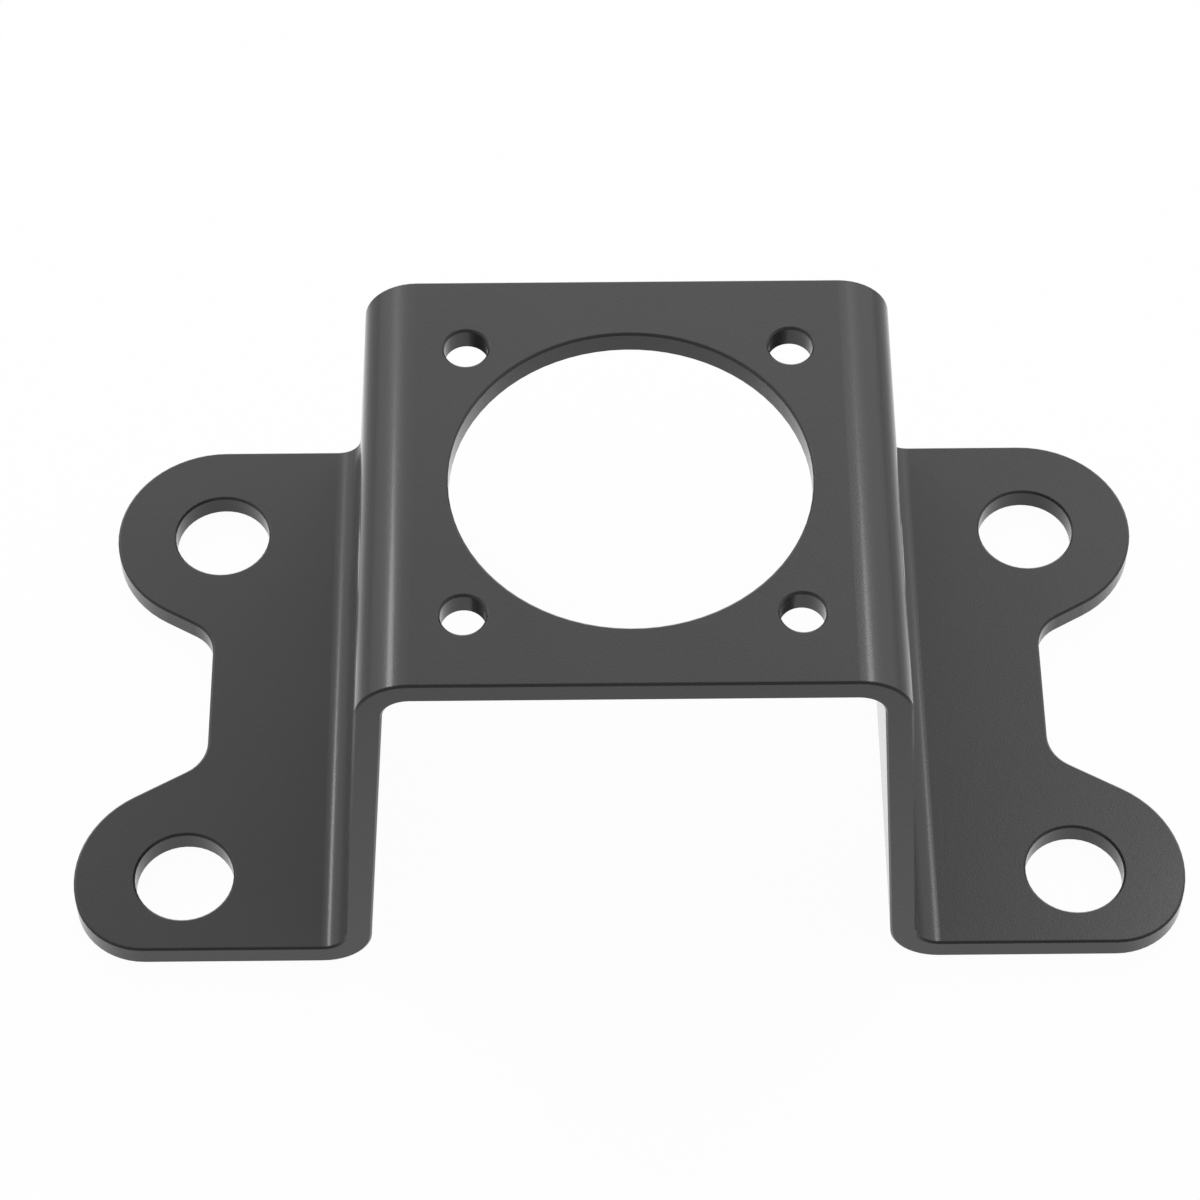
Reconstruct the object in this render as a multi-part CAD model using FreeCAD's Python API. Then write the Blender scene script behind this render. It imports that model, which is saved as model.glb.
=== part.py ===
"""Steel mounting bracket, folded from one plate, in millimetres.

A hat-shaped strap: a flat platform on two legs that lean outwards, and a flange turned out at the
foot of each leg.  The platform has one large opening with four small bolt holes around it.  Each
flange has two rounded ears with a bolt hole, joined by a narrow waist.  All front edges are flush.

Frame: X across the bracket, Y from front to back, Z up.  The origin is the middle of the footprint,
on the plane that the flanges are bolted down to.
"""
import FreeCAD, Part
import math
import os

# The plate and its folds
plate = 5.0               # thickness
bend_inside = 5.0         # inside radius of the four bends
leg_lean = 4.0            # degrees that each leg leans outwards from upright
height = 95.0             # underside of the flanges to the top of the platform
span = 88.0               # between the legs, measured where they meet the platform's underside

# Front to back
flange_depth = 119.8      # front edge to back edge of a flange
platform_depth = 91.1     # front edge to back edge of the platform
taper_margin = 5.0        # flat of a leg left square beyond each bend, before its back edge slopes
taper_radius = 20.0       # where that slope begins and ends

# Platform holes
bolt_square = 60.0        # side of the square on which the four bolt holes lie
bolt_dia = 8.2
opening_dia = 1.1 * bolt_square
opening_from_front = 45.2

# Flange holes and ears
mount_dia = 19.2
back_mount_spacing = 165.6
front_mount_spacing = 173.4
front_mount_inset = 16.4  # from the front edge to the front pair of holes
ear_radius = 21.5         # round each mounting hole
ear_corner_radius = 14.0  # between a front ear and the front edge
waist_depth = 20.75       # from the side of a back ear in to the straight edge between two ears
waist_radius = 7.8        # hollow corners of the waist
ear_slope = 30.0          # degrees of the straight flanks between ear and waist

edge_break = 0.4          # bevel that takes the sharpness off every edge

# Places that follow from the sizes above
front = -flange_depth / 2
back = flange_depth / 2
platform_back = front + platform_depth
opening_y = front + opening_from_front
back_mount_y = back - ear_radius
front_mount_y = front + front_mount_inset
waist_half_width = back_mount_spacing / 2 + ear_radius - waist_depth
lean = math.radians(leg_lean)
slope = math.radians(ear_slope)
bend_outside = bend_inside + plate


def vec(x, y, z=0.0):
    return FreeCAD.Vector(x, y, z)


def arc_about(centre, radius, start, end):
    """Arc in the XY plane about a centre, from one angle to the other in degrees."""
    def at(angle):
        turn = math.radians(angle)
        return centre + vec(radius * math.cos(turn), radius * math.sin(turn))
    return Part.Arc(at(start), at((start + end) / 2), at(end)).toShape()


def line(start, end):
    return Part.LineSegment(start, end).toShape()


def mirrored(shape):
    """The same shape on the other side of the middle plane X = 0."""
    return shape.mirror(vec(0, 0), vec(1, 0))


def folded_strap():
    """The hat section with its four pairs of bends, carried over the whole depth."""
    wall = plate / math.cos(lean)                      # level thickness of a leaning leg
    shift = math.tan(lean)                             # outward run of a leg for each unit of fall
    roof = height - plate                              # underside of the platform
    inner_top = span / 2
    inner_foot = inner_top + shift * roof
    outer_top = inner_top + wall - shift * plate
    outer_foot = inner_foot + wall - shift * plate
    reach = max(front_mount_spacing, back_mount_spacing) / 2 + 2 * ear_radius
    half = [
        (0, roof), (inner_top, roof), (inner_foot, 0), (reach, 0),
        (reach, plate), (outer_foot, plate), (outer_top, height), (0, height),
    ]
    ring = [vec(x, front, z) for x, z in half]
    solid = Part.Face(Part.makePolygon(ring + ring[:1])).extrude(vec(0, flange_depth, 0))
    inside_corners = [(inner_top, roof), (outer_foot, plate)]
    outside_corners = [(outer_top, height), (inner_foot, 0)]
    solid = solid.makeFillet(bend_inside, edges_through(solid, "xz", inside_corners))
    solid = solid.makeFillet(bend_outside, edges_through(solid, "xz", outside_corners))
    return solid.fuse(mirrored(solid)).removeSplitter()


def edges_through(solid, axes, places):
    """The edges along which two of the coordinates, such as "xz", keep one of the given places."""
    def along(edge, place):
        ends = [[getattr(v.Point, axis) for axis in axes] for v in edge.Vertexes]
        return len(ends) == 2 and all(math.dist(end, place) < 1e-6 for end in ends)
    return [edge for edge in solid.Edges for place in places if along(edge, place)]


def plan_half():
    """Edges of the plan outline for positive X, from the back edge round to the front edge."""
    back_ear = vec(back_mount_spacing / 2, back_mount_y)
    front_ear = vec(front_mount_spacing / 2, front_mount_y)
    flank = vec(math.sin(slope), math.cos(slope))      # from an ear's centre square to its flank
    back_touch = back_ear + vec(flank.x, -flank.y) * ear_radius
    front_touch = front_ear + flank * ear_radius

    # Hollow corners where the flanks run into the straight waist
    back_corner_y = back_touch.y - (back_touch.x - waist_half_width) * math.tan(slope)
    front_corner_y = front_touch.y + (front_touch.x - waist_half_width) * math.tan(slope)
    trim = waist_radius * math.tan((math.pi / 2 - slope) / 2)
    back_hollow = vec(waist_half_width + waist_radius, back_corner_y - trim)
    front_hollow = vec(waist_half_width + waist_radius, front_corner_y + trim)
    flank_turn = 90 + ear_slope

    # Corner between the front ear and the front edge, touching both
    corner_y = front + ear_corner_radius
    inset = ear_radius - ear_corner_radius
    corner_x = front_ear.x + math.sqrt(inset ** 2 - (corner_y - front_mount_y) ** 2)
    corner_turn = math.degrees(math.atan2(corner_y - front_mount_y, corner_x - front_ear.x))

    back_arc = arc_about(back_ear, ear_radius, 90, ear_slope - 90)
    back_hollow_arc = arc_about(back_hollow, waist_radius, flank_turn, 180)
    front_hollow_arc = arc_about(front_hollow, waist_radius, 180, 360 - flank_turn)
    front_arc = arc_about(front_ear, ear_radius, 90 - ear_slope, corner_turn)
    corner_arc = arc_about(vec(corner_x, corner_y), ear_corner_radius, corner_turn, -90)

    arcs = [back_arc, back_hollow_arc, front_hollow_arc, front_arc, corner_arc]
    edges = [line(vec(0, back), ends_of(back_arc)[0])]
    for first, second in zip(arcs, arcs[1:]):
        edges.append(first)
        gap_start, gap_end = ends_of(first)[1], ends_of(second)[0]
        if gap_start.distanceToPoint(gap_end) > 1e-6:
            edges.append(line(gap_start, gap_end))
    edges += [corner_arc, line(ends_of(corner_arc)[1], vec(0, front))]
    return edges


def ends_of(edge):
    """First and last point of an edge, in the direction in which it was drawn."""
    return edge.valueAt(edge.FirstParameter), edge.valueAt(edge.LastParameter)


def plan_prism():
    """The plan outline of the whole bracket as an upright prism."""
    half = plan_half()
    ring = Part.Wire(Part.__sortEdges__(half + [mirrored(edge) for edge in half]))
    return Part.Face(ring).extrude(vec(0, 0, height))


def side_prism():
    """The side outline: upright in front, and behind sloping in from flange to platform."""
    slope_foot = (back, bend_outside + taper_margin)
    slope_top = (platform_back, height - bend_outside - taper_margin)
    points = [(front, 0), (back, 0), slope_foot, slope_top, (platform_back, height), (front, height)]
    reach = front_mount_spacing / 2 + 2 * ear_radius
    ring = [vec(-reach, y, z) for y, z in points]
    prism = Part.Face(Part.makePolygon(ring + ring[:1])).extrude(vec(2 * reach, 0, 0))
    return prism.makeFillet(taper_radius, edges_through(prism, "yz", [slope_foot, slope_top]))


def drill(diameter, x, y, low, high):
    return Part.makeCylinder(diameter / 2, high - low, vec(x, y, low), vec(0, 0, 1))


def holes():
    """The opening, its four bolt holes and the four mounting holes in the flanges."""
    low, high = height - 2 * plate, height + plate
    drills = [drill(opening_dia, 0, opening_y, low, high)]
    for side in (-1, 1):
        for end in (-1, 1):
            x, y = side * bolt_square / 2, opening_y + end * bolt_square / 2
            drills.append(drill(bolt_dia, x, y, low, high))
        for spacing, y in ((front_mount_spacing, front_mount_y), (back_mount_spacing, back_mount_y)):
            drills.append(drill(mount_dia, side * spacing / 2, y, -plate, 2 * plate))
    return Part.makeCompound(drills)


def is_sharp(solid, edge):
    """True where the two faces of an edge meet at a corner and not in a smooth run."""
    faces = solid.ancestorsOfType(edge, Part.Face)
    if len(faces) != 2:
        return False
    point = edge.valueAt((edge.FirstParameter + edge.LastParameter) / 2)
    normals = [face.normalAt(*face.Surface.parameter(point)) for face in faces]
    return normals[0].getAngle(normals[1]) > math.radians(20)


def bracket():
    shape = folded_strap().common(plan_prism()).common(side_prism()).cut(holes()).removeSplitter()
    solid = shape.Solids[0]
    sharp = [edge for edge in solid.Edges if is_sharp(solid, edge)]
    return solid.makeChamfer(edge_break, sharp)


os.makedirs("parts", exist_ok=True)
body = bracket()
body.exportStep("parts/bracket.step")
print("bracket: valid", body.isValid(), "solids", len(body.Solids), "volume", round(body.Volume, 1))
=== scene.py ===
"""Looks for the folded steel mounting bracket: satin black powder coat, white studio, camera."""
import bpy
import math
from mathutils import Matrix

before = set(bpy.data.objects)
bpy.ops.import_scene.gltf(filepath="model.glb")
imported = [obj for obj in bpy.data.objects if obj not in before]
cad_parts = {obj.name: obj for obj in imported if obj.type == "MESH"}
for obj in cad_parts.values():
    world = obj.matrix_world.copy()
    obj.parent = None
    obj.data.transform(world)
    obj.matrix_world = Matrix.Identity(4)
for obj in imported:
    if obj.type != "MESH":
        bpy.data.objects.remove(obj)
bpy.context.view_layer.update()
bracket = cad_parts["bracket"]

# Camera, measured from the photograph (row frame, metres and degrees)
CAMERA_PLACE = (-0.009907, -0.449800, 0.675680)
CAMERA_PITCH = 54.907       # below the horizon
CAMERA_TURN = 0.578         # from +Y towards +X
CAMERA_LENS = 120.573       # mm, on a sensor of the width below
CAMERA_SENSOR = 36.0        # mm
CAMERA_REACH = (0.01, 50.0)

# Powder coat: noise sizes count per metre, so that 3400 makes grains of about 0.3 mm
GRAIN, PEEL, PATCH = 3400.0, 900.0, 45.0
COAT_GREY = 0.030
COAT_ROUGHNESS = 0.34
RELIEF_HEIGHT = 0.00003     # metres, of the grain and the orange peel
EDGE_SOFTENING = 0.0003     # metres, radius over which the shading rounds the bevelled edges

# Floor
FLOOR_HALF = 6.0            # half side
FLOOR_DROP = 0.0002         # below the flanges, so that the two surfaces never coincide
FLOOR_GREY = 0.45           # its paint, which shows the shadow
FLOOR_GLOW = 1.03           # its white light, to the eye and in reflections
FLOOR_TO_EYE = 0.94         # share of that light to the eye; the rest is the paint
FLOOR_FADE = 0.25           # metres from the middle to the last of the stops below
FLOOR_IN_MIRROR = [(0.20, 0.97), (0.36, 0.76), (0.52, 0.76), (1.0, 0.05)]

# Light tent: its brightness by the height z of the direction, then its level, and how much it
# gains from the camera's side, where y is negative, to the far side
TENT_BY_HEIGHT = [
    (0.0, 0.40), (0.20, 0.58), (0.45, 0.65), (0.70, 0.79),
    (0.77, 0.72), (0.85, 0.37), (0.93, 0.34), (0.98, 0.85),
]
TENT_LEVEL = 2.05
TENT_MIDDLE, TENT_GAIN = 0.68, 0.60

# Soft lamps: name, place, the point that it faces, side in metres, power in watts
LAMPS = [
    ("left_lamp", (-0.74, 0.60, 0.85), (0, 0, 0.05), 0.20, 1.9),
    ("right_lamp", (0.535, 0.62, 1.035), (0, 0, 0.05), 0.20, 1.0),
    ("near_lamp", (0.22, 0.17, 0.45), (0.10, -0.04, 0), 0.10, 0.15),
]
WHITE = (1, 1, 1, 1)


class Signal:
    """A shader socket that can stand in Python arithmetic: every operation adds one Math node."""

    def __init__(self, tree, socket):
        self.tree = tree
        self.socket = socket

    def node(self, kind, settings, inputs, output=0):
        """Adds a node: its settings first, then the values or links of its sockets.

        settings maps a property to its value; "stops" gives a colour ramp's (place, grey) pairs.
        inputs maps a socket's name or number to a value, a colour or another Signal.
        """
        made = self.tree.nodes.new(kind)
        for name, value in settings.items():
            if name == "stops":
                ramp = made.color_ramp.elements
                while len(ramp) < len(value):
                    ramp.new(0.5)
                for stop, (place, grey) in zip(ramp, value):
                    stop.position, stop.color = place, (grey, grey, grey, 1)
            else:
                setattr(made, name, value)
        for name, value in inputs.items():
            if isinstance(value, Signal):
                self.tree.links.new(value.socket, made.inputs[name])
            else:
                made.inputs[name].default_value = value
        return Signal(self.tree, made.outputs[output] if made.outputs else None)

    def maths(self, operation, first, second):
        return self.node("ShaderNodeMath", {"operation": operation}, {0: first, 1: second})

    def __add__(self, other):
        return self.maths("ADD", self, other)

    def __sub__(self, other):
        return self.maths("SUBTRACT", self, other)

    def __rsub__(self, other):
        return self.maths("SUBTRACT", other, self)

    def __mul__(self, other):
        return self.maths("MULTIPLY", self, other)

    __radd__ = __add__
    __rmul__ = __mul__


def emptied(owner):
    """The node tree of a material or world, cleared, as a starting Signal with no socket."""
    owner.use_nodes = True
    owner.node_tree.nodes.clear()
    return Signal(owner.node_tree, None)


def powder_coat():
    """Satin black powder coat: near-black paint under a clear layer, with a fine relief.

    The relief is grain + 0.6 orange peel.  Soft patches and the grain shift the grey by 0.003 and
    0.005 at the most, and the patches shift the roughness by 0.025.
    """
    material = bpy.data.materials.new("satin_black_powder_coat")
    net = emptied(material)
    place = net.node("ShaderNodeTexCoord", {}, {}, "Object")
    peel, grain, patch = (
        net.node("ShaderNodeTexNoise", {}, {"Vector": place, "Scale": scale, "Detail": detail})
        for scale, detail in ((PEEL, 2.0), (GRAIN, 1.0), (PATCH, 3.0))
    )
    grey = (patch - 0.5) * 0.006 + (grain - 0.5) * 0.010 + COAT_GREY
    colour = net.node("ShaderNodeCombineColor", {}, {0: grey, 1: grey, 2: grey})
    softened = net.node("ShaderNodeBevel", {"samples": 4}, {"Radius": EDGE_SOFTENING})
    relief = net.node("ShaderNodeBump", {}, {
        "Strength": 1.0,
        "Distance": RELIEF_HEIGHT,
        "Height": peel * 0.6 + grain,
        "Normal": softened,
    })
    gloss = net.node("ShaderNodeBsdfPrincipled", {}, {
        "Base Color": colour,
        "Roughness": (patch - 0.5) * 0.05 + COAT_ROUGHNESS,
        "IOR": 1.40,
        "Coat Weight": 1.0,
        "Coat Roughness": 0.14,
        "Coat IOR": 1.20,
        "Normal": relief,
    })
    net.node("ShaderNodeOutputMaterial", {}, {"Surface": gloss})
    return material


def white_floor():
    """Pale floor: nearly white to the eye, with a faint soft shadow left under the bracket.

    In reflections its white fades from the middle outwards, through FLOOR_IN_MIRROR.
    """
    side = FLOOR_HALF
    corners = [(-side, -side, 0), (side, -side, 0), (side, side, 0), (-side, side, 0)]
    mesh = bpy.data.meshes.new("floor")
    mesh.from_pydata(corners, [], [(0, 1, 2, 3)])
    floor = bpy.data.objects.new("floor", mesh)
    bpy.context.scene.collection.objects.link(floor)
    floor.location.z = -FLOOR_DROP
    material = bpy.data.materials.new("white_floor")
    net = emptied(material)
    eye, mirror = (
        net.node("ShaderNodeLightPath", {}, {}, f"Is {kind} Ray") for kind in ("Camera", "Glossy")
    )
    place = net.node("ShaderNodeTexCoord", {}, {}, "Object")
    distance = net.node("ShaderNodeVectorMath", {"operation": "LENGTH"}, {0: place}, "Value")
    along = distance * (1 / FLOOR_FADE)
    fade = net.node("ShaderNodeValToRGB", {"stops": FLOOR_IN_MIRROR}, {0: along})
    paint = (FLOOR_GREY, FLOOR_GREY, FLOOR_GREY, 1)
    matt = net.node("ShaderNodeBsdfDiffuse", {}, {"Color": paint})
    glow = net.node("ShaderNodeEmission", {}, {"Color": WHITE, "Strength": FLOOR_GLOW})
    share = eye * FLOOR_TO_EYE + mirror * fade
    surface = net.node("ShaderNodeMixShader", {}, {0: share, 1: matt, 2: glow})
    net.node("ShaderNodeOutputMaterial", {}, {"Surface": surface})
    mesh.materials.append(material)


def studio_world():
    """White all round to the eye, and a soft tent for the light that falls on the bracket.

    The tent's strength is TENT_BY_HEIGHT(z) TENT_LEVEL (TENT_MIDDLE + TENT_GAIN y).
    """
    world = bpy.data.worlds.new("studio")
    bpy.context.scene.world = world
    net = emptied(world)
    direction = net.node("ShaderNodeTexCoord", {}, {}, "Generated")
    y, z = (net.node("ShaderNodeSeparateXYZ", {}, {0: direction}, axis) for axis in "YZ")
    eye = net.node("ShaderNodeLightPath", {}, {}, "Is Camera Ray")
    by_height = net.node("ShaderNodeValToRGB", {"stops": TENT_BY_HEIGHT}, {0: z})
    tent = by_height * TENT_LEVEL * (y * TENT_GAIN + TENT_MIDDLE)
    backdrop = net.node("ShaderNodeBackground", {}, {"Color": WHITE, "Strength": 1.0})
    lit = net.node("ShaderNodeBackground", {}, {"Color": WHITE, "Strength": tent})
    surface = net.node("ShaderNodeMixShader", {}, {0: eye, 1: lit, 2: backdrop})
    net.node("ShaderNodeOutputWorld", {}, {"Surface": surface})


def softbox(name, place, aim, size, power):
    """A square soft lamp at a place, turned to face the aim point."""
    lamp = bpy.data.lights.new(name, "AREA")
    lamp.shape, lamp.size, lamp.energy = "SQUARE", size, power
    holder = bpy.data.objects.new(name, lamp)
    holder.location = place
    away = [a - p for a, p in zip(aim, place)]
    tilt = math.atan2(math.hypot(away[0], away[1]), -away[2])
    turn = math.atan2(away[1], away[0]) - math.pi / 2
    holder.rotation_euler = (tilt, 0, turn)
    bpy.context.scene.collection.objects.link(holder)


def photo_camera():
    """A camera where the photograph's was found to be."""
    data = bpy.data.cameras.new("photo_camera")
    data.sensor_width, data.lens = CAMERA_SENSOR, CAMERA_LENS
    data.clip_start, data.clip_end = CAMERA_REACH
    camera = bpy.data.objects.new("photo_camera", data)
    camera.location = CAMERA_PLACE
    camera.rotation_euler = (math.radians(90 - CAMERA_PITCH), 0, math.radians(-CAMERA_TURN))
    bpy.context.scene.collection.objects.link(camera)
    bpy.context.scene.camera = camera


coat = powder_coat()
for slot in bracket.material_slots:
    slot.material = coat
photo_camera()
white_floor()
studio_world()
for lamp in LAMPS:
    softbox(*lamp)
bpy.context.scene.view_settings.view_transform = "Standard"
